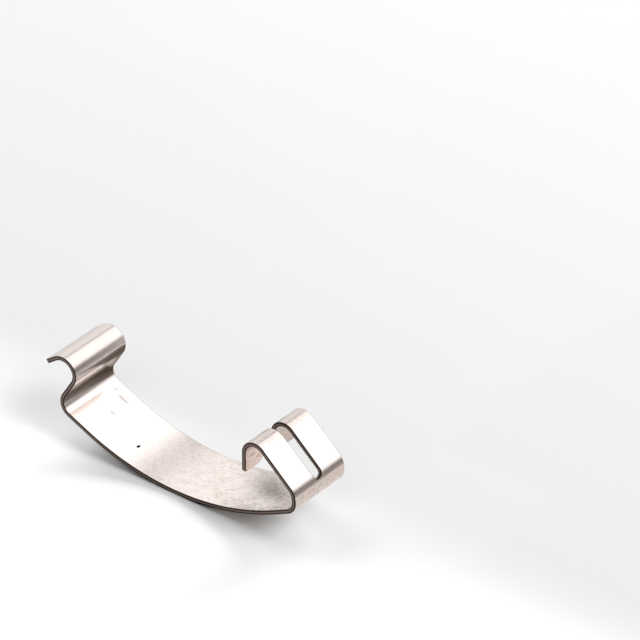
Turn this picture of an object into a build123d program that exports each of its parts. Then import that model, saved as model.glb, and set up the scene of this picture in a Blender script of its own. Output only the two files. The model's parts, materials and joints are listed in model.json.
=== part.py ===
from build123d import *

from dataclasses import dataclass
from math import atan2, degrees
import os

# Flat spring clip: one stainless strip, bent into a hook, a bowed web and a folded, forked loop.
# The strip is drawn as a lengthwise section in the XZ plane, a chain of flats and tangent bends,
# and pulled out to its width along Y. A slot then splits the folded end into two prongs.
# Sizes are in millimetres and angles in degrees. Each bend has the radius of its hollow side.

# Strip stock
strip_width = 12.0
strip_thickness = 0.7

# Hook at the free end, curled over and down
hook_lip = 2.0
hook_inner_radius = 2.0
hook_turn = 157.0
hook_shank = 3.35

# Valley that turns the hook's shank back up into the web
valley_inner_radius = 1.85
valley_turn = 97.5

# Web between hook and loop: a straight lead-in, a long shallow bow and a straight run-out
web_lead_in = 4.05
web_bow_radius = 41.65
web_bow_turn = 50.0
web_run_out = 2.95

# Folded loop: heel, short back wall, crease, sloping flap, crown and hanging tab
heel_inner_radius = 1.65
heel_turn = 72.5
wall_height = 0.65
crease_inner_radius = 1.8
crease_turn = 40.5
flap_length = 6.9
crown_inner_radius = 1.7
crown_turn = 132.5
tab_length = 3.3

# Slot from the crease, over the crown and out through the tab's end
slot_width = 2.1
slot_overrun = 0.3
root_overrun = 0.6

# Corners of the strip's two ends, as sheared
prong_corner_radius = 2.3
end_corner_radius = 0.3


@dataclass
class Flat:
    """Straight stretch of strip."""

    length: float


@dataclass
class Bend:
    """Bent stretch of strip: a positive turn curls it towards its upper face."""

    inner_radius: float
    turn: float


# Stretches of the strip, in order from the hook's lip to the tab's end
hook = [Flat(hook_lip), Bend(hook_inner_radius, -hook_turn), Flat(hook_shank)]
web = [
    Bend(valley_inner_radius, valley_turn),
    Flat(web_lead_in),
    Bend(web_bow_radius, web_bow_turn),
    Flat(web_run_out),
]
back = [Bend(heel_inner_radius, heel_turn), Flat(wall_height), Bend(crease_inner_radius, crease_turn)]
fork = [Flat(flap_length), Bend(crown_inner_radius, crown_turn), Flat(tab_length)]


def square_to(heading):
    """Direction a quarter turn to the left of a heading, from the strip's lower face to its upper one."""
    return Vector(-heading.Y, heading.X)


def trace_line(stretch, start, heading, inset=0.0):
    """Chain of lines and tangent arcs that runs beside the strip's middle line, at a distance to its left."""
    place = start + square_to(heading) * inset
    chain = []
    for piece in stretch:
        if isinstance(piece, Flat):
            step = PolarLine(place, piece.length, direction=heading)
        else:
            middle_radius = piece.inner_radius + strip_thickness / 2
            side = 1 if piece.turn > 0 else -1
            step = JernArc(place, heading, middle_radius - side * inset, piece.turn)
        chain.append(step)
        place = step @ 1
        heading = step % 1
    return chain


def strip_section(stretch, start, heading, thickness):
    """Lengthwise section of a stretch of strip: two parallel borders, closed square at both ends."""
    upper = trace_line(stretch, start, heading, thickness / 2)
    lower = trace_line(stretch, start, heading, -thickness / 2)
    ends = [Line(upper[0] @ 0, lower[0] @ 0), Line(upper[-1] @ 1, lower[-1] @ 1)]
    return make_face(upper + ends + lower)


def pull_out(section, width):
    """Solid of a section in the XZ plane, pulled out to both sides of that plane."""
    return extrude(Plane.XZ * section, amount=width / 2, both=True)


def to_row(point):
    """Point of the section's own plane, as a point in the XZ plane."""
    return Vector(point.X, 0, point.Y)


# Middle line, from the hook's lip to the tab's end
lip_start = Vector(0, 0)
lip_heading = Vector(1, 0)
middle = trace_line(hook + web + back + fork, lip_start, lip_heading)
lip, hook_curl = middle[0], middle[1]
bow = middle[len(hook) + 2]
flap, crown, tab = middle[-len(fork):]

# Whole strip, pulled out to its width
whole_strip = strip_section(hook + web + back + fork, lip_start, lip_heading, strip_thickness)
clip = pull_out(whole_strip, strip_width)

# Slot: follows the forked end and runs out past the tab, with a round root where the flap begins
slot_course = fork[:-1] + [Flat(tab_length + slot_overrun)]
slot_thickness = strip_thickness + 2 * slot_overrun
slot = pull_out(strip_section(slot_course, flap @ 0, flap % 0, slot_thickness), slot_width)
root_plane = Plane(origin=to_row(flap @ 0), x_dir=(0, 1, 0), z_dir=to_row(square_to(flap % 0)))
slot_root = root_plane * Cylinder(slot_width / 2, strip_thickness + 2 * root_overrun)
clip = clip - [slot, slot_root]


def corner_edges(end_point, half_width):
    """Edges through the strip's thickness beside one end of its middle line, left and right of it."""
    return (
        clip.edges()
        .filter_by(lambda edge: abs(edge.length - strip_thickness) < 1e-3)
        .filter_by(lambda edge: abs(abs(edge.center().Y) - half_width) < 1e-3)
        .sort_by(lambda edge: (edge.center() - to_row(end_point)).length)[:2]
    )


# Prongs part in wide rounded corners, and the outer corners are barely broken
clip = fillet(corner_edges(tab @ 1, slot_width / 2), prong_corner_radius)
clip = fillet(corner_edges(tab @ 1, strip_width / 2), end_corner_radius)
clip = fillet(corner_edges(lip @ 0, strip_width / 2), end_corner_radius)

# The clip lies on its bowed web, so its centre of mass comes to rest straight below the bow's centre
bow_centre = to_row(bow.arc_center)
towards_bow_centre = bow_centre - clip.center(CenterOf.MASS)
lie = Rot(0, -degrees(atan2(towards_bow_centre.X, towards_bow_centre.Z)), 0)
lying_box = (lie * clip).bounding_box()
settle = Pos(-lying_box.center().X, 0, -lying_box.min.Z) * lie
clip = settle * clip

os.makedirs("parts", exist_ok=True)
clip.label = "spring_clip"
export_step(clip, "parts/spring_clip.step")

size = clip.bounding_box().size
print(f"spring_clip: {size.X:.3f} x {size.Y:.3f} x {size.Z:.3f} mm, {clip.volume:.2f} mm3")
print(f"strip length along the middle line: {sum(step.length for step in middle):.2f} mm")
for name, bend in (("hook", hook_curl), ("crown", crown), ("bow", bow)):
    centre = (settle * Pos(to_row(bend.arc_center))).position
    print(f"{name} centre: X {centre.X:.3f}, Z {centre.Z:.3f}")
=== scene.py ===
# %% [markdown]
# A flat spring clip is one strip of springy stainless steel. A press punches it out of thin sheet and
# then folds it, in a few strokes, into a hook at one end and a forked loop at the other.
# This script gives the bare model its looks: a fine mesh of the bent strip, its metal, and a small
# studio to see it in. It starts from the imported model, which fixes every place and size.

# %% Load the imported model
import json
import math

import bpy
from mathutils import Matrix, Vector


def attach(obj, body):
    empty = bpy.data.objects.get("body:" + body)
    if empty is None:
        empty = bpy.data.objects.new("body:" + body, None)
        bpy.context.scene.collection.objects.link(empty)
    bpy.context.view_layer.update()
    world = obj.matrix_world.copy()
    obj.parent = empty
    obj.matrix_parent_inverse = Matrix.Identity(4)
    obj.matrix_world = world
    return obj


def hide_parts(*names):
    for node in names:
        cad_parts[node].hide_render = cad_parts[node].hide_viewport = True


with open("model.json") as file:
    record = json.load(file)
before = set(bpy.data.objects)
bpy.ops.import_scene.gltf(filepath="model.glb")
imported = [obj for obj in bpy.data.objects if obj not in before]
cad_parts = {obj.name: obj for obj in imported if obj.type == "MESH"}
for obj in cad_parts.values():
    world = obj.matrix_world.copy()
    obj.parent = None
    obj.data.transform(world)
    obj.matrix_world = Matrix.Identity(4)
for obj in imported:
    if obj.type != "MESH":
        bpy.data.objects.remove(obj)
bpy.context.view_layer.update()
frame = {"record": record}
seats = {mount["name"]: Vector(mount["pos_m"]) for mount in frame["record"]["mounts"]}

# %% [markdown]
# The photograph was taken from the front right and above. A camera needs three directions for that:
# its right, its up, and the way back from the clip to its lens. The roll turns right and up about the
# line of sight, as a hand does that holds a camera not quite level. All three angles were solved from
# the clip's own edges in the photograph.

# %% Camera directions
VIEW_AZIMUTH = math.radians(36.36)
VIEW_ELEVATION = math.radians(32.86)
VIEW_ROLL = math.radians(1.81)


def camera_axes(azimuth, elevation, roll):
    """Right, up and backward directions of a camera that looks down at the clip."""
    right = Vector((math.cos(azimuth), math.sin(azimuth), 0))
    back = Vector((math.sin(azimuth) * math.cos(elevation), -math.cos(azimuth) * math.cos(elevation),
                   math.sin(elevation)))
    up = back.cross(right)
    rolled_right = right * math.cos(roll) + up * math.sin(roll)
    return rolled_right, back.cross(rolled_right), back


right, up, back = camera_axes(VIEW_AZIMUTH, VIEW_ELEVATION, VIEW_ROLL)
print("the camera looks along", -back)

# %% [markdown]
# A long lens from far away keeps the strip's near and far edges almost parallel, as they are in the
# photograph. The camera stands on a line from one chosen point of the clip, and slides sideways until
# that point falls on its pixel of the picture. Colours are shown as they are, without a film look.

# %% Camera
MM = 0.001
PICTURE_SIDE = 640
VIEW_DISTANCE = 850 * MM
SENSOR_WIDTH = 36.0
LENS_LENGTH = 318.1
AIM_POINT = Vector((0, 0, 7.72 * MM))
AIM_PIXEL = (193.68, 431.16)
pixel = VIEW_DISTANCE * SENSOR_WIDTH / LENS_LENGTH / PICTURE_SIDE
spot = AIM_POINT + back * VIEW_DISTANCE
spot -= right * (AIM_PIXEL[0] - PICTURE_SIDE / 2) * pixel
spot += up * (AIM_PIXEL[1] - PICTURE_SIDE / 2) * pixel
lens = bpy.data.cameras.new("camera")
lens.sensor_width = SENSOR_WIDTH
lens.lens = LENS_LENGTH
camera = bpy.data.objects.new("camera", lens)
camera.matrix_world = Matrix.Translation(spot) @ Matrix((right, up, back)).transposed().to_4x4()
bpy.context.collection.objects.link(camera)
bpy.context.scene.camera = camera
bpy.context.scene.view_settings.view_transform = "Standard"
print(f"one millimetre is {MM / pixel:.2f} pixels wide")

# %% [markdown]
# The strip could be a box with bend modifiers, or a curve with a flat bevel. Here it is worked out
# the way a press tool maker does it: first the flat blank, then the bends along it. A blank gives a
# mesh whose rows follow the length of the strip, so the grain left by rolling runs round each bend.
# These are the sizes of the blank and of its bends, in millimetres and degrees. A bend has the radius
# of its hollow side, and a positive turn curls the strip towards its upper face.

# %% Sizes of the blank and its bends
STRIP_WIDTH = 12.0
STRIP_THICKNESS = 0.7
SLOT_WIDTH = 2.1
PRONG_CORNER = 2.3
END_CORNER = 0.3
HOOK = [("flat", 2.0), ("bend", 2.0, -157.0), ("flat", 3.35)]
WEB = [("bend", 1.85, 97.5), ("flat", 4.05), ("bend", 41.65, 50.0), ("flat", 2.95)]
BACK = [("bend", 1.65, 72.5), ("flat", 0.65), ("bend", 1.8, 40.5)]
FORK = [("flat", 6.9), ("bend", 1.7, 132.5), ("flat", 3.3)]


def lay_out(stretches):
    """Each stretch with its start along the strip, its length, and its curving per millimetre."""
    course = []
    start = 0.0
    for kind, size, *turn in stretches:
        if kind == "flat":
            length, curving = size, 0.0
        else:
            middle_radius = size + STRIP_THICKNESS / 2
            length = middle_radius * math.radians(abs(turn[0]))
            curving = math.copysign(1 / middle_radius, turn[0])
        course.append((start, length, curving))
        start += length
    return course


course = lay_out(HOOK + WEB + BACK + FORK)
strip_length = course[-1][0] + course[-1][1]
fork_start = course[len(HOOK + WEB + BACK)][0]
print(f"strip {strip_length:.2f} mm long, fork from {fork_start:.2f} mm")

# %% [markdown]
# A point of the strip is given by how far along it lies. Walking the flats and bends up to there
# gives its place and the way the strip heads. A bend's centre lies beside its middle, one radius off.

# %% Middle line of the strip
# radians below which a step counts as straight
NO_TURN = 1e-9


def walk(along):
    """Place and heading of the strip's middle line at a distance along it, before it is laid down."""
    place = Vector((0, 0))
    heading = 0.0
    for start, length, curving in course:
        last = along <= start + length or (start, length, curving) == course[-1]
        step = along - start if last else length
        turn = step * curving
        if abs(turn) < NO_TURN:
            place = place + Vector((math.cos(heading), math.sin(heading))) * step
        else:
            across = Vector((math.sin(heading + turn) - math.sin(heading),
                             math.cos(heading) - math.cos(heading + turn)))
            place = place + across / curving
        heading += turn
        if last:
            return place, heading


def bend_centre(start, length, curving):
    """Centre of the circle that one bend follows, before the strip is laid down."""
    place, heading = walk(start + length / 2)
    return place + Vector((-math.sin(heading), math.cos(heading))) / curving


print("the middle line ends at", walk(strip_length)[0])

# %% [markdown]
# The walk starts anywhere, so its result is turned and moved as a whole, until the hook's and the
# crown's centres lie on the two seats that the model's record gives for them. The strip then lies
# exactly where the bare model does, on its bowed web.

# %% Strip laid on its seats
hook_centre = bend_centre(*course[1])
crown_centre = bend_centre(*course[-2])
hook_seat = Vector((seats["hook_seat"].x, seats["hook_seat"].z)) / MM
crown_seat = Vector((seats["crown_seat"].x, seats["crown_seat"].z)) / MM
wanted = crown_seat - hook_seat
walked = crown_centre - hook_centre
lie = math.atan2(wanted.y, wanted.x) - math.atan2(walked.y, walked.x)


def strip_point(along):
    """Place, heading direction and square-up direction of the strip, laid down, in the XZ plane."""
    place, heading = walk(along)
    place = Matrix.Rotation(lie, 2) @ (place - hook_centre) + hook_seat
    heading += lie
    forward = Vector((math.cos(heading), 0, math.sin(heading)))
    return Vector((place.x, 0, place.y)), forward, Vector((-forward.z, 0, forward.x))


print(f"the seats are {wanted.length:.3f} mm apart, the walked centres {walked.length:.3f} mm")

# %% [markdown]
# The outline of the blank is simple: two straight sides, corners barely broken by the shears, and a
# slot with a round end that opens through the tab, where its two corners are widely rounded.
# Only one half is worked out, because the other mirrors it.

# %% Outline of the blank
half_width = STRIP_WIDTH / 2
half_slot = SLOT_WIDTH / 2
slot_tip = fork_start - half_slot


def outer_side(along):
    """Half width of the blank at a distance along it, and the direction that its border faces."""
    to_end = min(along, strip_length - along)
    if to_end >= END_CORNER:
        return half_width, (0.0, 1.0)
    reach = END_CORNER - to_end
    rise = math.sqrt(max(END_CORNER**2 - reach**2, 0))
    outward = -reach if along < strip_length / 2 else reach
    return half_width - END_CORNER + rise, (outward / END_CORNER, rise / END_CORNER)


def inner_side(along):
    """Half width of the slot at a distance along the blank, and the direction that its border faces."""
    if along <= slot_tip:
        return 0.0, (1.0, 0.0)
    if along < fork_start:
        reach = fork_start - along
        rise = math.sqrt(max(half_slot**2 - reach**2, 0))
        return rise, (reach / half_slot, -rise / half_slot)
    reach = along - (strip_length - PRONG_CORNER)
    if reach <= 0:
        return half_slot, (0.0, -1.0)
    rise = math.sqrt(max(PRONG_CORNER**2 - reach**2, 0))
    return half_slot + PRONG_CORNER - rise, (reach / PRONG_CORNER, -rise / PRONG_CORNER)


print(f"slot from {slot_tip:.2f} mm, between its corners {2 * inner_side(strip_length)[0]:.2f} mm wide")

# %% [markdown]
# Rows of the mesh run across the strip. They lie closer where a bend is tight or a corner is round,
# so the reflections bend as smoothly as they do on the real metal. Where two rows would almost meet,
# one goes, but never one where the outline changes.

# %% Rows across the strip
FLAT_STEP = 0.6
TURN_STEP = math.radians(4)
CORNER_STEPS = 12
ROW_GAP = 0.005
# differences as small as these two come only from rounding in the sums
STEP_SLACK = 1e-6
SAME_PLACE = 1e-9


def evenly(low, high, step):
    """Distances from low up to high, in equal steps no longer than the one given."""
    count = max(1, math.ceil((high - low) / step - STEP_SLACK))
    return [low + (high - low) * i / count for i in range(count)]


def round_corner(end, radius, towards_end):
    """Distances along a rounded corner that ends at end, in equal turns."""
    turns = [math.pi / 2 * i / CORNER_STEPS for i in range(CORNER_STEPS + 1)]
    return [end - towards_end * radius * (1 - math.sin(turn)) for turn in turns]


def thin_out(distances, fixed):
    """The distances in order, without those that crowd the one before, but with all the fixed ones."""
    kept = []
    for along in sorted(distances):
        if kept and along - kept[-1] < ROW_GAP:
            if min(abs(along - mark) for mark in fixed) > SAME_PLACE:
                continue
            kept.pop()
        kept.append(along)
    return kept


crossings = set(round_corner(0, END_CORNER, -1) + round_corner(strip_length, PRONG_CORNER, 1))
crossings |= set(round_corner(slot_tip, half_slot, -1)) | {strip_length - END_CORNER}
for start, length, curving in course:
    step = min(FLAT_STEP, TURN_STEP / abs(curving)) if curving else FLAT_STEP
    crossings |= set(evenly(start, start + length, step))
rows = thin_out(crossings, [0.0, END_CORNER, slot_tip, fork_start, strip_length])
print(len(rows), "rows across the strip")

# %% [markdown]
# Each point is worked out on the flat blank and bent into place at once: so far along, so far across,
# so far up from the middle of the thickness. It keeps its place on the blank for the materials, and
# the direction that the metal faces there. Such exact directions shade a round edge smoothly, and no
# shading leaks onto the flat faces, as it can after a bevel modifier.

# %% Points of the bent strip
HALF_COLUMNS = 12
last_row = len(rows) - 1
blank, bent, facing = [], [], []


def add_point(along, across, height, direction):
    """Adds a point of the blank, bent into place, with the direction that the surface faces there."""
    place, forward, square = strip_point(along)
    lengthwise, sideways, upright = direction
    bent.append((place + Vector((0, across, 0)) + square * height) * MM)
    facing.append((forward * lengthwise + Vector((0, sideways, 0)) + square * upright).normalized())
    blank.append((along, across, height))
    return len(bent) - 1


def across_at(row, side, column):
    """How far across one column of a row lies, from the middle or the slot to the outer side."""
    inner, outer = inner_side(rows[row])[0], outer_side(rows[row])[0]
    return (inner + (outer - inner) * column / HALF_COLUMNS) * side


def border_direction(row, side, column):
    """Direction that the border faces at one point of it: lengthwise and sideways."""
    if row == 0:
        return -1.0, 0.0
    if row == last_row:
        return 1.0, 0.0
    outline = outer_side if column == HALF_COLUMNS else inner_side
    lengthwise, sideways = outline(rows[row])[1]
    return lengthwise, sideways * side


print("row", last_row // 2, "reaches", across_at(last_row // 2, 1, HALF_COLUMNS), "mm to each side")

# %% [markdown]
# The shears leave the strip with faintly rounded edges. To make room for the rounding, the border of
# the upper and of the lower face is set in by its radius, and the rows near the two ends close up a
# little. Left and right half share their points along the middle, up to the tip of the slot.

# %% Upper and lower face
EDGE_ROUND = 0.1
# distance from each end within which the rows close up
END_FIT = 0.6
half_thickness = STRIP_THICKNESS / 2
tip_row = rows.index(slot_tip)
shared = {}


def set_back(along):
    """Distance along for the points inside a row, which make room for the rounding near the ends."""
    room = 1 - EDGE_ROUND / END_FIT
    if along < END_FIT:
        return EDGE_ROUND + along * room
    if along > strip_length - END_FIT:
        return strip_length - EDGE_ROUND - (strip_length - along) * room
    return along


def face_point(row, side, column, upper):
    """Adds one point of the upper or lower face."""
    along, across = rows[row], across_at(row, side, column)
    if row in (0, last_row) or column == HALF_COLUMNS or (column == 0 and row >= tip_row):
        lengthwise, sideways = border_direction(row, side, column)
        along, across = along - lengthwise * EDGE_ROUND, across - sideways * EDGE_ROUND
    else:
        along = set_back(along)
    return add_point(along, across, half_thickness if upper else -half_thickness, (0, 0, 1 if upper else -1))


def row_points(row, side, upper):
    """Points of one half row of the upper or lower face, from the middle or the slot outwards."""
    points = []
    for column in range(HALF_COLUMNS + 1):
        in_middle = column == 0 and row <= tip_row
        if in_middle and (row, upper) in shared:
            points.append(shared[row, upper])
            continue
        points.append(face_point(row, side, column, upper))
        if in_middle:
            shared[row, upper] = points[-1]
    return points


grid = {(upper, side): [row_points(row, side, upper) for row in range(len(rows))]
        for upper in (True, False) for side in (1, -1)}
faces = []
for (upper, side), half_face in grid.items():
    for near, far in zip(half_face, half_face[1:]):
        for column in range(HALF_COLUMNS):
            corners = [near[column], far[column], far[column + 1], near[column + 1]]
            faces.append(corners if upper == (side > 0) else corners[::-1])
sheared_from = len(faces)
print(sheared_from, "faces on the upper and lower side")

# %% [markdown]
# A rim of narrow faces closes the strip all round. Going round it once passes the hook's lip, the left
# side, the left prong, the inside of the slot, the right prong and the right side. At each of its
# points the rim goes down the thickness: a quarter turn, the straight cut, and a quarter turn back.

# %% Rim round the border
RIM_STEPS = 4
quarter = [math.pi / 2 * step / RIM_STEPS for step in range(1, RIM_STEPS + 1)]
profile = [(math.sin(turn), math.cos(turn)) for turn in quarter]
profile += [(out, -rise) for out, rise in reversed(profile)]
ring = [(0, -1, column) for column in range(HALF_COLUMNS, 0, -1)]
ring += [(0, 1, column) for column in range(HALF_COLUMNS + 1)]
ring += [(row, 1, HALF_COLUMNS) for row in range(1, last_row)]
ring += [(last_row, 1, column) for column in range(HALF_COLUMNS, -1, -1)]
ring += [(row, 1, 0) for row in range(last_row - 1, tip_row - 1, -1)]
ring += [(row, -1, 0) for row in range(tip_row + 1, last_row)]
ring += [(last_row, -1, column) for column in range(HALF_COLUMNS + 1)]
ring += [(row, -1, HALF_COLUMNS) for row in range(last_row - 1, 0, -1)]


def rim_points(row, side, column):
    """Points down the strip's thickness at one point of its border, from the upper face to the lower."""
    lengthwise, sideways = border_direction(row, side, column)
    along, across = rows[row], across_at(row, side, column)
    points = [grid[True, side][row][column]]
    for out, rise in profile:
        inset = EDGE_ROUND * (1 - out)
        level = math.copysign(half_thickness - EDGE_ROUND, rise) + EDGE_ROUND * rise
        points.append(add_point(along - lengthwise * inset, across - sideways * inset, level,
                                (lengthwise * out, sideways * out, rise)))
    return points + [grid[False, side][row][column]]


rim = [rim_points(*place) for place in ring]
for near, far in zip(rim, rim[1:] + rim[:1]):
    faces += [[near[step], far[step], far[step + 1], near[step + 1]] for step in range(len(near) - 1)]
print(len(faces) - sheared_from, "faces round the border")

# %% [markdown]
# Faces of one bent blank belong together, so the strip is one mesh and one object. It takes the place
# of the plain solid that it dresses, which is hidden, and rides with the model's root.

# %% Bent strip in place
mesh = bpy.data.meshes.new("bent_strip")
mesh.from_pydata(bent, [], faces)
mesh.validate()
mesh.shade_smooth()
mesh.normals_split_custom_set_from_vertices(facing)
strip = bpy.data.objects.new("bent_strip", mesh)
bpy.context.collection.objects.link(strip)
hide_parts("spring_clip")
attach(strip, "root")
print(len(mesh.vertices), "points,", len(mesh.polygons), "faces")

# %% [markdown]
# Materials need to know where they are on the strip, not where that is in the room: grain and marks
# follow the metal round its bends. Each point keeps its place on the blank, in millimetres, as a
# named attribute, which the material reads.

# %% Places on the blank
ON_BLANK = "on_blank"
on_blank = mesh.attributes.new(ON_BLANK, "FLOAT_VECTOR", "POINT")
on_blank.data.foreach_set("vector", [value for place in blank for value in place])
print(len(on_blank.data), "places on the blank")

# %% [markdown]
# Colours are picked as they look on screen and turned into the light values that Blender counts in.
# The sRGB standard gives the rule: a straight piece for the darkest values and a power for the rest.

# %% Colours
def linear(hex_colour):
    """Linear colour of an sRGB hex value such as #C8C2BC."""
    parts = [int(hex_colour[i:i + 2], 16) / 255 for i in (1, 3, 5)]
    return (*[part / 12.92 if part <= 0.04045 else ((part + 0.055) / 1.055) ** 2.4 for part in parts], 1)


def grey(value):
    """Colour of an even grey, as a ramp's stop takes it."""
    return (value, value, value, 1)


print("a grey of 50 percent on screen is", round(linear("#808080")[0], 3), "of the light")

# %% [markdown]
# A material is a net of nodes, so one small helper adds a node with its settings, values and links.
# Sockets are given by name, or by number where several share a name. Two kinds of node need that
# often, the Map Range node and the colour Mix node, so their numbers have names here.

# %% Node helper
FROM_LOW, FROM_HIGH, TO_LOW, TO_HIGH = 1, 2, 3, 4
FIRST_COLOUR, SECOND_COLOUR, MIXED_COLOUR = 6, 7, 2


def result_of(source):
    """The socket that gives a source's result: a node's first one, or the socket itself."""
    return source.outputs[0] if isinstance(source, bpy.types.Node) else source


def add(tree, kind, values=(), links=(), stops=(), **settings):
    """Adds a node with its settings, its sockets' values, what feeds them, and a ramp's stops."""
    made = tree.nodes.new(kind)
    for name, value in settings.items():
        setattr(made, name, value)
    for socket, value in dict(values).items():
        made.inputs[socket].default_value = value
    for socket, source in dict(links).items():
        tree.links.new(result_of(source), made.inputs[socket])
    if stops:
        ramp = made.color_ramp.elements
        ramp.remove(ramp[-1])
        ramp[0].position, ramp[0].color = stops[0]
        for at, colour in stops[1:]:
            ramp.new(at).color = colour
    return made


print("a Map Range node takes its range from sockets", FROM_LOW, "to", TO_HIGH)

# %% [markdown]
# The strip is cold-rolled stainless spring steel. Polished rolls leave it bright, with a faint grain
# of lines along its length. Stainless isn't neutral: it throws back a little more red than blue, so
# white light comes back slightly warm, and warmer still after two or three bounces in a tight bend.
# A metal has no other colour of its own, so nearly all of its look comes from the walls around it.
# The real grain lines are a few hundredths of a millimetre apart, too fine for the picture. They are
# drawn about 0.15 mm apart, so that they show. Each of the other patterns is as coarse as the thing
# that it stands for. All of them change through the thickness too, so the two faces differ.

# %% Rolled stainless
STEEL_CLEAN = "#F4E9E4"
# colour of rubbed steel, which is also the colour of the painted shade and dark reflections
STEEL_RUBBED_AND_SHADED = "#8E817A"
STEEL_STAINED = "#E0D0C2"
STEEL_ROUGHNESS = 0.17
# waves a millimetre along, across and through the strip, then octaves and their weight
PATTERNS = {
    "grain": ((0.09, 6.5, 3.0), 3.0, 0.5),  # rolled lines, 0.15 mm apart and 11 mm long
    "stain": ((0.45, 0.6, 3.0), 5.0, 0.6),  # cloudy stains, about 2 mm across
    "crinkle": ((1.6, 2.2, 3.0), 4.0, 0.6),  # shallow dents, about 0.5 mm across
    "flake": ((7.0, 10.0, 3.0), 1.0, 0.5),  # gaps of about 0.1 mm that break a mark into flecks
    "crease": ((1.0, 1.5, 3.0), 4.0, 0.6),  # winding thin creases, 0.7 to 1 mm apart
    "patch": ((0.8, 1.1, 3.0), 3.0, 0.7),  # patches with creases in them, about 1 mm across
}
steel = bpy.data.materials.new("rolled_stainless_steel")
steel.use_nodes = True
tree = steel.node_tree
on_strip = add(tree, "ShaderNodeAttribute", attribute_name=ON_BLANK).outputs["Vector"]
pattern = {}
for name, (waves, octaves, weight) in PATTERNS.items():
    scaled = add(tree, "ShaderNodeVectorMath", {1: waves}, {0: on_strip}, operation="MULTIPLY")
    pattern[name] = add(tree, "ShaderNodeTexNoise", {"Scale": 1.0, "Detail": octaves, "Roughness": weight},
                        {"Vector": scaled})
print("patterns on the steel:", ", ".join(pattern))

# %% [markdown]
# Handling leaves its marks. The bow and the loop rub on other parts, so they carry cloudy stains,
# dark specks and short scratches, while the stretch beside the hook stays clean. The bending tools
# also rub the metal at each tight bend and leave it duller and darker. The same curve also paints
# shade and dark reflections into the colour: dark lines in the hook's curl, the darkest band in the
# narrow valley under the hook, and darker steel in the loop's creases and inside the crown and tab.
# Both are drawn as curves over the distance along the strip: each pair is a distance in millimetres
# and how much of it there is, wear for the first curve, rub and painted shade for the second, from
# none at 0 to all at 1.

# %% Wear, rub and painted shade along the strip
WEAR = [(0.0, 0.4), (2.0, 0.25), (14.0, 0.1), (26.0, 0.1), (31.0, 0.5), (44.0, 0.7), (50.0, 0.9), (61.0, 1.0),
        (64.0, 0.1), (70.0, 0.15), (72.0, 0.7), (78.8, 1.0)]
# rub at the tight bends, and painted shade in the hook's curl, its valley, the loop's creases and the tab
RUB_AND_PAINTED_SHADE = [(0.0, 0.45), (1.6, 0.45), (2.4, 0.28), (5.6, 0.28), (5.9, 0.75), (6.1, 0.65), (6.35, 0.05),
       (6.55, 0.1), (6.8, 0.5), (7.0, 0.35), (7.4, 0.45), (7.9, 0.5), (8.3, 0.1), (8.6, 0.0), (9.7, 0.0),
       (10.4, 0.8), (10.9, 1.0), (12.6, 1.0), (13.9, 0.1), (14.6, 0.0), (58.9, 0.0), (59.7, 0.25),
       (63.4, 0.25), (64.0, 0.0), (70.4, 0.0), (71.2, 0.35), (73.2, 0.4), (74.0, 0.65), (75.2, 0.6),
       (75.9, 0.45), (78.8, 0.45)]
distance = add(tree, "ShaderNodeSeparateXYZ", links={0: on_strip}).outputs[0]
way_along = add(tree, "ShaderNodeMapRange", {FROM_HIGH: strip_length}, {0: distance})
worn, rubbed_and_shaded = [
    add(tree, "ShaderNodeValToRGB", links={0: way_along},
        stops=[(at / strip_length, grey(value)) for at, value in curve])
    for curve in (WEAR, RUB_AND_PAINTED_SHADE)
]
print("wear in", len(WEAR), "steps, rub in", len(RUB_AND_PAINTED_SHADE))

# %% [markdown]
# Stains are the peaks of the broad noise and shallow dents those of a finer one. Scratches are the
# peaks of a noise that is stretched long and thin, and turned a different way for each of three sets.
# Specks of dirt sit one to a cell of a cell pattern, and only some of the cells have one. Each kind
# has its own two levels, between which it comes in, and shows more where the strip is worn.

# %% Stains, dents, scratches and specks
STAIN_LEVELS = (0.42, 0.70)
CRINKLE_LEVELS = (0.50, 0.78)
SCRATCH_LEVELS = (0.68, 0.74)
SCRATCH_TURNS = (0.45, -0.8, 1.35)
# waves a millimetre: 1.4 mm long and 0.1 mm wide, wider than real scratches, so that they show
SCRATCH_WAVES = (0.7, 12.0, 3.0)
CELLS_PER_MM = 1.0
# millimetres from a speck's middle, within which it is full and beyond which there is nothing of it
SPECK_EDGE = (0.05, 0.11)
SPECK_SHARE = 0.5
finds = [(pattern["stain"], STAIN_LEVELS), (pattern["crinkle"], CRINKLE_LEVELS)]
for turn in SCRATCH_TURNS:
    turned = add(tree, "ShaderNodeVectorRotate", {"Angle": turn}, {"Vector": on_strip})
    drawn_out = add(tree, "ShaderNodeVectorMath", {1: SCRATCH_WAVES}, {0: turned}, operation="MULTIPLY")
    streaks = add(tree, "ShaderNodeTexNoise", {"Scale": 1.0, "Detail": 1.0}, {"Vector": drawn_out})
    finds.append((streaks, SCRATCH_LEVELS))
cells = add(tree, "ShaderNodeTexVoronoi", {"Scale": CELLS_PER_MM}, {"Vector": on_strip})
dot = add(tree, "ShaderNodeMapRange",
          {FROM_LOW: SPECK_EDGE[0], FROM_HIGH: SPECK_EDGE[1], TO_LOW: 1.0, TO_HIGH: 0.0},
          {0: cells.outputs["Distance"]})
chosen = add(tree, "ShaderNodeMath", {1: SPECK_SHARE}, {0: cells.outputs["Color"]}, operation="LESS_THAN")
finds.append((add(tree, "ShaderNodeMath", links={0: dot, 1: chosen}, operation="MULTIPLY"), (0.0, 1.0)))
found = []
for source, (low, high) in finds:
    part = add(tree, "ShaderNodeMapRange", {FROM_LOW: low, FROM_HIGH: high}, {0: source},
               interpolation_type="SMOOTHSTEP")
    found.append(add(tree, "ShaderNodeMath", links={0: part, 1: worn}, operation="MULTIPLY"))
stained, crinkled, *scratches, specked = found
print(len(found), "kinds of wear")

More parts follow.
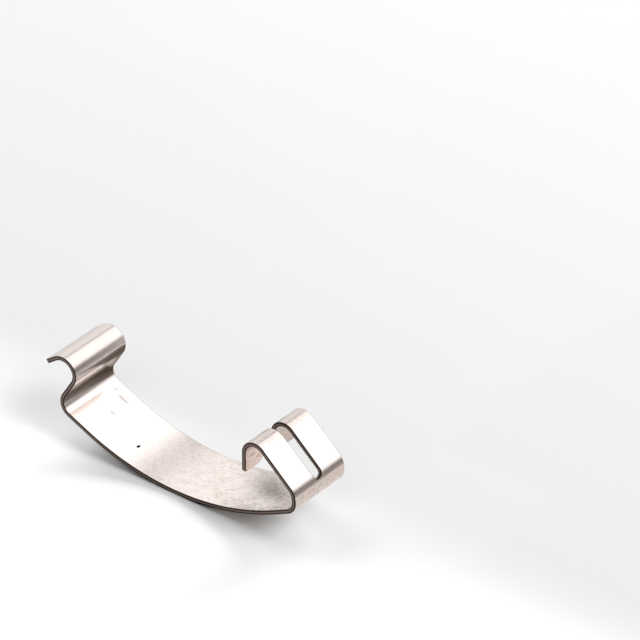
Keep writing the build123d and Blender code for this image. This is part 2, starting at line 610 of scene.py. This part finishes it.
# %% [markdown]
# Where the strip was flexed it carries thin dark creases. They are drawn where a noise passes its
# middle value, which gives winding lines of even breadth, and a second noise lets them show only in
# patches. Creases, scratches and specks are all dirt in the metal, and the strongest of them shows.

# %% Thin creases
NOISE_MIDDLE = 0.5
# how far the noise may be from its middle value, which makes a crease a few hundredths of a mm wide
CREASE_BREADTH = 0.014
CREASE_DEPTH = 0.8
PATCH_LEVELS = (0.54, 0.64)
crease_line = add(tree, "ShaderNodeMath", {1: NOISE_MIDDLE, 2: CREASE_BREADTH}, {0: pattern["crease"]},
                  operation="COMPARE")
in_patch = add(tree, "ShaderNodeMapRange",
               {FROM_LOW: PATCH_LEVELS[0], FROM_HIGH: PATCH_LEVELS[1], TO_HIGH: CREASE_DEPTH},
               {0: pattern["patch"]})
creased = add(tree, "ShaderNodeMath", links={0: crease_line, 1: in_patch}, operation="MULTIPLY")
creased = add(tree, "ShaderNodeMath", links={0: creased, 1: worn}, operation="MULTIPLY")
dirty = specked
for more in (creased, *scratches):
    dirty = add(tree, "ShaderNodeMath", links={0: dirty, 1: more}, operation="MAXIMUM")
print("dirt from", 2 + len(scratches), "sources")

# %% [markdown]
# A few marks sit in places of their own: one dark speck on the bow, rows of tiny scuffs beside the
# hook and a fine line that a bending tool left near the heel. Two more are painted shade: small dark
# ovals on the inner face of the hanging tab. Each is an oval on the blank that fades out over the
# outer half of its reach. A fine pattern breaks the ovals into flecks, and only one as strong as the
# speck stays whole.

# %% Single marks and painted shade in the tab
# the last two are painted shade on the tab's inner face
# middle along and across, half length and half breadth, all in millimetres, then strength
MARKS_AND_PAINTED_SHADE = [(26.4, -1.8, 0.3, 0.5, 8.0), (18.5, 3.7, 1.5, 0.42, 1.25), (19.3, 0.2, 0.8, 0.45, 1.05),
         (16.4, 4.2, 0.8, 0.4, 0.95), (54.1, -1.5, 0.14, 2.2, 1.4),
         (76.5, -4.3, 0.3, 1.0, 0.7), (77.4, -3.0, 0.3, 0.7, 0.7)]
MARK_FADE = (0.5, 1.0)
FLAKE_LEVELS = (0.53, 0.58)
FLAKE_LEAST = 0.13
spoiled_and_shaded = None
for middle_along, middle_across, half_length, half_breadth, strength in MARKS_AND_PAINTED_SHADE:
    moved = add(tree, "ShaderNodeVectorMath", {1: (-middle_along, -middle_across, 0)}, {0: on_strip},
                operation="ADD")
    oval = add(tree, "ShaderNodeVectorMath", {1: (1 / half_length, 1 / half_breadth, 0)}, {0: moved},
               operation="MULTIPLY")
    reach = add(tree, "ShaderNodeVectorMath", links={0: oval}, operation="LENGTH").outputs["Value"]
    mark = add(tree, "ShaderNodeMapRange",
               {FROM_LOW: MARK_FADE[0], FROM_HIGH: MARK_FADE[1], TO_LOW: strength, TO_HIGH: 0.0}, {0: reach},
               interpolation_type="SMOOTHSTEP")
    spoiled_and_shaded = mark if spoiled_and_shaded is None else add(tree, "ShaderNodeMath", links={0: spoiled_and_shaded, 1: mark},
                                               operation="MAXIMUM")
broken = add(tree, "ShaderNodeMapRange",
             {FROM_LOW: FLAKE_LEVELS[0], FROM_HIGH: FLAKE_LEVELS[1], TO_LOW: FLAKE_LEAST, TO_HIGH: 1.0},
             {0: pattern["flake"]})
spoiled_and_shaded = add(tree, "ShaderNodeMath", links={0: spoiled_and_shaded, 1: broken}, operation="MULTIPLY", use_clamp=True)
print(len(MARKS_AND_PAINTED_SHADE), "marks in places of their own")

# %% [markdown]
# All of these meet in one metal. Its colour goes from clean to rubbed and painted shade, stained, dirty and
# marked.

# %% Colour of the steel
MARK_AND_SHADE_COLOUR = "#17171A"
DIRT_COLOUR = "#6E5C52"
STAIN_SHARE, CRINKLE_SHARE = 0.6, 0.5
cloudy = add(tree, "ShaderNodeMath", {1: STAIN_SHARE}, {0: stained}, operation="MULTIPLY")
cloudy = add(tree, "ShaderNodeMath", {1: CRINKLE_SHARE}, {0: crinkled, 2: cloudy}, operation="MULTIPLY_ADD",
             use_clamp=True)
colour = add(tree, "ShaderNodeMix", {FIRST_COLOUR: linear(STEEL_CLEAN), SECOND_COLOUR: linear(STEEL_RUBBED_AND_SHADED)},
             {0: rubbed_and_shaded}, data_type="RGBA").outputs[MIXED_COLOUR]
for amount, tint in ((cloudy, STEEL_STAINED), (dirty, DIRT_COLOUR), (spoiled_and_shaded, MARK_AND_SHADE_COLOUR)):
    colour = add(tree, "ShaderNodeMix", {SECOND_COLOUR: linear(tint)}, {0: amount, FIRST_COLOUR: colour},
                 data_type="RGBA").outputs[MIXED_COLOUR]
print("colours from", STEEL_CLEAN, "to", MARK_AND_SHADE_COLOUR)

# %% [markdown]
# Dull places blur what they mirror, so rub and painted shade, stains, grain and marks each add to the
# roughness. The
# grain and the dents are also a relief of a few thousandths of a millimetre. That is too flat to be
# worth real faces, but it breaks up the reflections, so it is a bump.

# %% Gloss and relief of the steel
RUB_DULLING, STAIN_DULLING, GRAIN_DULLING, SPOIL_DULLING = 0.02, 0.08, 0.05, 0.15
GRAIN_RELIEF, CRINKLE_RELIEF = 0.004 * MM, 0.008 * MM
gloss = add(tree, "ShaderNodeMath", {1: RUB_DULLING, 2: STEEL_ROUGHNESS}, {0: rubbed_and_shaded},
            operation="MULTIPLY_ADD")
for amount, dulling in ((cloudy, STAIN_DULLING), (pattern["grain"], GRAIN_DULLING), (spoiled_and_shaded, SPOIL_DULLING)):
    gloss = add(tree, "ShaderNodeMath", {1: dulling}, {0: amount, 2: gloss}, operation="MULTIPLY_ADD")
relief = add(tree, "ShaderNodeBump", {"Distance": GRAIN_RELIEF}, {"Height": pattern["grain"]})
relief = add(tree, "ShaderNodeBump", {"Distance": CRINKLE_RELIEF}, {"Height": crinkled, "Normal": relief})
shader = tree.nodes["Principled BSDF"]
shader.inputs["Metallic"].default_value = 1.0
for socket, source in (("Base Color", colour), ("Roughness", gloss), ("Normal", relief)):
    tree.links.new(result_of(source), shader.inputs[socket])
print(steel.name, len(tree.nodes), "nodes")

# %% [markdown]
# A punched edge isn't rolled: the punch smears the first part of the cut smooth, and the rest breaks
# off rough and dark. The edge therefore shows as a dark grey-brown band with a slightly lighter
# middle, and fine upright lines where the tool slid past. The real lines are a few hundredths of a
# millimetre apart. They are drawn about 0.15 mm apart, so that they show.

# %% Sheared edge
EDGE_DARK = "#2B2423"
EDGE_LIGHT = "#73655C"
# share of the thickness, from the lower face to the upper one, and the tone there
EDGE_BAND = [(0.0, EDGE_DARK), (0.25, EDGE_DARK), (0.42, EDGE_LIGHT), (0.62, EDGE_LIGHT), (0.8, EDGE_DARK),
             (1.0, EDGE_DARK)]
EDGE_ROUGHNESS = 0.5
EDGE_WAVES = (7.0, 7.0, 0.7)
# share of the thickness over which the borders of the band wander
EDGE_WANDER = 0.25
EDGE_RELIEF = 0.01 * MM
cut = bpy.data.materials.new("sheared_stainless_edge")
cut.use_nodes = True
tree = cut.node_tree
on_edge = add(tree, "ShaderNodeAttribute", attribute_name=ON_BLANK).outputs["Vector"]
height = add(tree, "ShaderNodeSeparateXYZ", links={0: on_edge}).outputs[2]
level = add(tree, "ShaderNodeMapRange", {FROM_LOW: -half_thickness, FROM_HIGH: half_thickness}, {0: height})
slid = add(tree, "ShaderNodeVectorMath", {1: EDGE_WAVES}, {0: on_edge}, operation="MULTIPLY")
slid = add(tree, "ShaderNodeTexNoise", {"Scale": 1.0, "Detail": 3.0}, {"Vector": slid})
shifted = add(tree, "ShaderNodeMath", {1: EDGE_WANDER, 2: -EDGE_WANDER / 2}, {0: slid},
              operation="MULTIPLY_ADD")
shifted = add(tree, "ShaderNodeMath", links={0: level, 1: shifted}, operation="ADD")
band = add(tree, "ShaderNodeValToRGB", links={0: shifted},
           stops=[(at, linear(tone)) for at, tone in EDGE_BAND])
drag_lines = add(tree, "ShaderNodeBump", {"Distance": EDGE_RELIEF}, {"Height": slid})
shader = tree.nodes["Principled BSDF"]
shader.inputs["Metallic"].default_value = 1.0
shader.inputs["Roughness"].default_value = EDGE_ROUGHNESS
for socket, source in (("Base Color", band), ("Normal", drag_lines)):
    tree.links.new(result_of(source), shader.inputs[socket])
print(cut.name, len(tree.nodes), "nodes")

# %% [markdown]
# The strip wears both metals: the rolled one on its two broad faces, and the sheared one on the rim,
# whose faces were made last.

# %% Metals on the strip
mesh.materials.append(steel)
mesh.materials.append(cut)
for polygon in mesh.polygons[sheared_from:]:
    polygon.material_index = 1
print(len(mesh.polygons) - sheared_from, "faces are sheared")

# %% [markdown]
# Bright metal shows its surroundings, so the studio is built first of all for what the metal mirrors.
# The walls are drawn by direction: a wide white softbox overhead, softer white walls to the left, a
# dark gap low on the right, and all of them dimmer towards the front. An angle here is how far a
# direction leans from the zenith to the right, and the value is how bright the wall is there. A ramp
# holds no value above 1, so the walls are drawn as shares of the brightest one. They don't light the
# floor, which is left to the lamps.

# %% Studio walls
SKY = [(-180, 1.0), (-100, 0.9), (-94, 0.95), (-89, 0.95), (-85, 1.15), (-79, 0.92), (-72, 1.05), (-62, 1.13),
       (-38, 1.10), (-32, 0.85), (-26, 0.72), (-21, 1.0), (-17, 1.4), (0, 1.6), (35, 1.6), (50, 1.5),
       (60, 1.15), (66, 0.9), (73, 0.5), (79, 0.23), (92, 0.23), (100, 0.6), (110, 0.8), (180, 0.8)]
SKY_TOP = 1.6
FRONT_DIMMED = 0.55
# how far back a direction points, from -1 to 1, where the walls are dimmest and from where they are full
DIMMEST_AT, FULL_AT = -0.7, 0.4
world = bpy.data.worlds.new("studio")
bpy.context.scene.world = world
world.use_nodes = True
world.cycles_visibility.diffuse = False
tree = world.node_tree
sight = add(tree, "ShaderNodeSeparateXYZ", links={0: add(tree, "ShaderNodeTexCoord").outputs["Generated"]})
lean = add(tree, "ShaderNodeMath", links={0: sight.outputs[0], 1: sight.outputs[2]}, operation="ARCTAN2")
way_round = add(tree, "ShaderNodeMapRange", {FROM_LOW: -math.pi, FROM_HIGH: math.pi}, {0: lean})
walls = add(tree, "ShaderNodeValToRGB", links={0: way_round},
            stops=[((angle + 180) / 360, grey(brightness / SKY_TOP)) for angle, brightness in SKY])
dimming = add(tree, "ShaderNodeMapRange",
              {FROM_LOW: DIMMEST_AT, FROM_HIGH: FULL_AT, TO_LOW: FRONT_DIMMED, TO_HIGH: 1.0},
              {0: sight.outputs[1]})
glow = add(tree, "ShaderNodeMath", {1: SKY_TOP}, {0: dimming}, operation="MULTIPLY")
for socket, source in (("Color", walls), ("Strength", glow)):
    tree.links.new(result_of(source), tree.nodes["Background"].inputs[socket])
print(len(SKY), "steps of light round the studio")

# %% [markdown]
# Small things are often lit from all sides, so that their shadow stays close under them. Here the
# strongest softbox stands low behind the clip and throws a narrow dark shadow in front of the bow.
# Softboxes on the right and left and a small lamp in front fill it further out. The metal doesn't
# mirror any of them, because the walls already stand for them.

# %% Lamps
# place and breadth in metres, then power in watts
LAMPS = [
    ("back_softbox", (-0.083, 0.947, 0.309), 0.73, 58.0),
    ("right_softbox", (0.692, 0.061, 0.719), 0.61, 21.5),
    ("left_softbox", (-0.801, 0.215, 0.559), 0.93, 21.5),
    ("front_lamp", (0.22, -0.604, 0.766), 0.5, 4.0),
]
for name, place, breadth, power in LAMPS:
    lamp = bpy.data.lights.new(name, "AREA")
    lamp.shape = "DISK"
    lamp.size = breadth
    lamp.energy = power
    stand = bpy.data.objects.new(name, lamp)
    stand.location = place
    stand.rotation_euler = Vector(place).to_track_quat("Z", "Y").to_euler()
    stand.visible_glossy = False
    stand.visible_camera = False
    bpy.context.collection.objects.link(stand)
print(len(LAMPS), "lamps")

# %% [markdown]
# Cards round bright metal keep it from looking burnt out: its bends then show dark lines and brown
# shades. Here the cards are glowing panels, which paint these dark reflections and the reflected
# shade of the floor into the metal. The upright cards stand behind the clip. Each has its own
# distance, which sets in which bends and stretches of the strip it is mirrored. The other cards lie
# around the clip, just above the floor, for the bends that look down. Each card glows with one even
# tone of its own, whatever lamp is on. Only the metal's mirroring sees the cards. They cast no shadow
# and stay out of the picture.

# %% Glowing cards round the clip
# tone that the card glows with, distance behind the clip's middle and corners to the right and up, in
# millimetres
UPRIGHT_GLOWING_CARDS = {
    "brown_upright": ("#70665F", 14, [(-30, 0), (-30, 6.6), (-9, 8.0), (-7.5, 7.0), (-6.2, 5.6), (-5.4, 4.2),
                                      (-4.0, 3.0), (3.2, 2.6), (3.2, 0)]),
    "black_bar": ("#1A1412", 24, [(-15.2, 10.2), (-12.6, 11.3), (-10.6, 10.2), (-7.6, 9.0), (-7.2, 7.8),
                                  (-8.3, 6.9), (-9.4, 5.7), (-10.0, 4.4), (-12.0, 4.6), (-13.8, 7.2)]),
    "white_upright": ("#FFFFFF", 50, [(6, 9), (6, 30), (36, 30), (36, 9)]),
    "brown_bar": ("#70665F", 14, [(3.3, 3.0), (3.3, 4.25), (6.5, 4.3), (9.5, 4.4), (9.5, 3.0)]),
}
# tone that the card glows with and corners to the right and back, in millimetres, and the height of all of
# them
LYING_GLOWING_CARDS = {
    "brown_lying": ("#70665F", [(-20, 10.8), (-5, 10.8), (-5, 20), (-20, 20)]),
    "fawn_lying": ("#BCB4AE", [(-32, 10.8), (-20, 10.8), (-20, 20), (-32, 20)]),
    "pale_lying": ("#F0ECE9", [(8, -6), (45, -6), (45, 26), (8, 26)]),
    "grey_far_right": ("#A59D98", [(46, 5), (400, 5), (400, 400), (24, 400), (24, 30), (46, 30)]),
    "white_far_left": ("#F1EDEA", [(-400, 45), (-35, 45), (-35, 400), (-400, 400)]),
}
LYING_AT = 0.1
glowing_cards = {name: (tone, [(x, y, z) for x, z in corners])
         for name, (tone, y, corners) in UPRIGHT_GLOWING_CARDS.items()}
glowing_cards |= {name: (tone, [(x, y, LYING_AT) for x, y in corners])
          for name, (tone, corners) in LYING_GLOWING_CARDS.items()}
for name, (tone, corners) in glowing_cards.items():
    card = bpy.data.materials.new(name)
    card.use_nodes = True
    shader = card.node_tree.nodes["Principled BSDF"]
    shader.inputs["Base Color"].default_value = linear("#000000")
    shader.inputs["Specular IOR Level"].default_value = 0.0
    # the card glows with its tone: a panel that paints a reflection into the metal
    shader.inputs["Emission Color"].default_value = linear(tone)
    shader.inputs["Emission Strength"].default_value = 1.0
    card_mesh = bpy.data.meshes.new(name)
    card_mesh.from_pydata([Vector(corner) * MM for corner in corners], [], [range(len(corners))])
    card_mesh.materials.append(card)
    held = bpy.data.objects.new(name, card_mesh)
    held.visible_camera = held.visible_diffuse = held.visible_shadow = False
    bpy.context.collection.objects.link(held)
print(len(glowing_cards), "glowing_cards")

# %% [markdown]
# The clip lies on a sheet of matt grey paper, large enough to fill the picture. It is lit so
# strongly that it shows white, as a dark sheet throws little light back under the clip and so keeps
# the shadow deep. Bright metal on white loses its far outline, so shade is painted into the paper's
# colour: it is a shade darker behind the clip than in front, as if shade fell there.

# %% Floor
FLOOR_SIDE = 3.0
PAPER_FRONT = "#909090"
# colour of the paper behind the clip, with the painted shade in it
PAPER_PAINTED_SHADE = "#787878"
PAPER_ROUGHNESS = 0.9
# places in front of and behind the clip's middle, between which the painted shade comes in
SHADED_FROM, SHADED_FULLY = -14.0 * MM, 16.0 * MM
half = FLOOR_SIDE / 2
floor_mesh = bpy.data.meshes.new("floor")
floor_mesh.from_pydata([(-half, -half, 0), (half, -half, 0), (half, half, 0), (-half, half, 0)], [],
                       [(0, 1, 2, 3)])
floor = bpy.data.objects.new("floor", floor_mesh)
bpy.context.collection.objects.link(floor)
paper = bpy.data.materials.new("matt_grey_paper_with_painted_shade")
paper.use_nodes = True
tree = paper.node_tree
on_floor = add(tree, "ShaderNodeSeparateXYZ", links={0: add(tree, "ShaderNodeTexCoord").outputs["Object"]})
behind = add(tree, "ShaderNodeMapRange", {FROM_LOW: SHADED_FROM, FROM_HIGH: SHADED_FULLY},
             {0: on_floor.outputs[1]}, interpolation_type="SMOOTHSTEP")
shade = add(tree, "ShaderNodeMix", {FIRST_COLOUR: linear(PAPER_FRONT), SECOND_COLOUR: linear(PAPER_PAINTED_SHADE)},
            {0: behind}, data_type="RGBA")
shader = tree.nodes["Principled BSDF"]
tree.links.new(shade.outputs[MIXED_COLOUR], shader.inputs["Base Color"])
shader.inputs["Roughness"].default_value = PAPER_ROUGHNESS
floor_mesh.materials.append(paper)
print("floor", FLOOR_SIDE, "m wide")
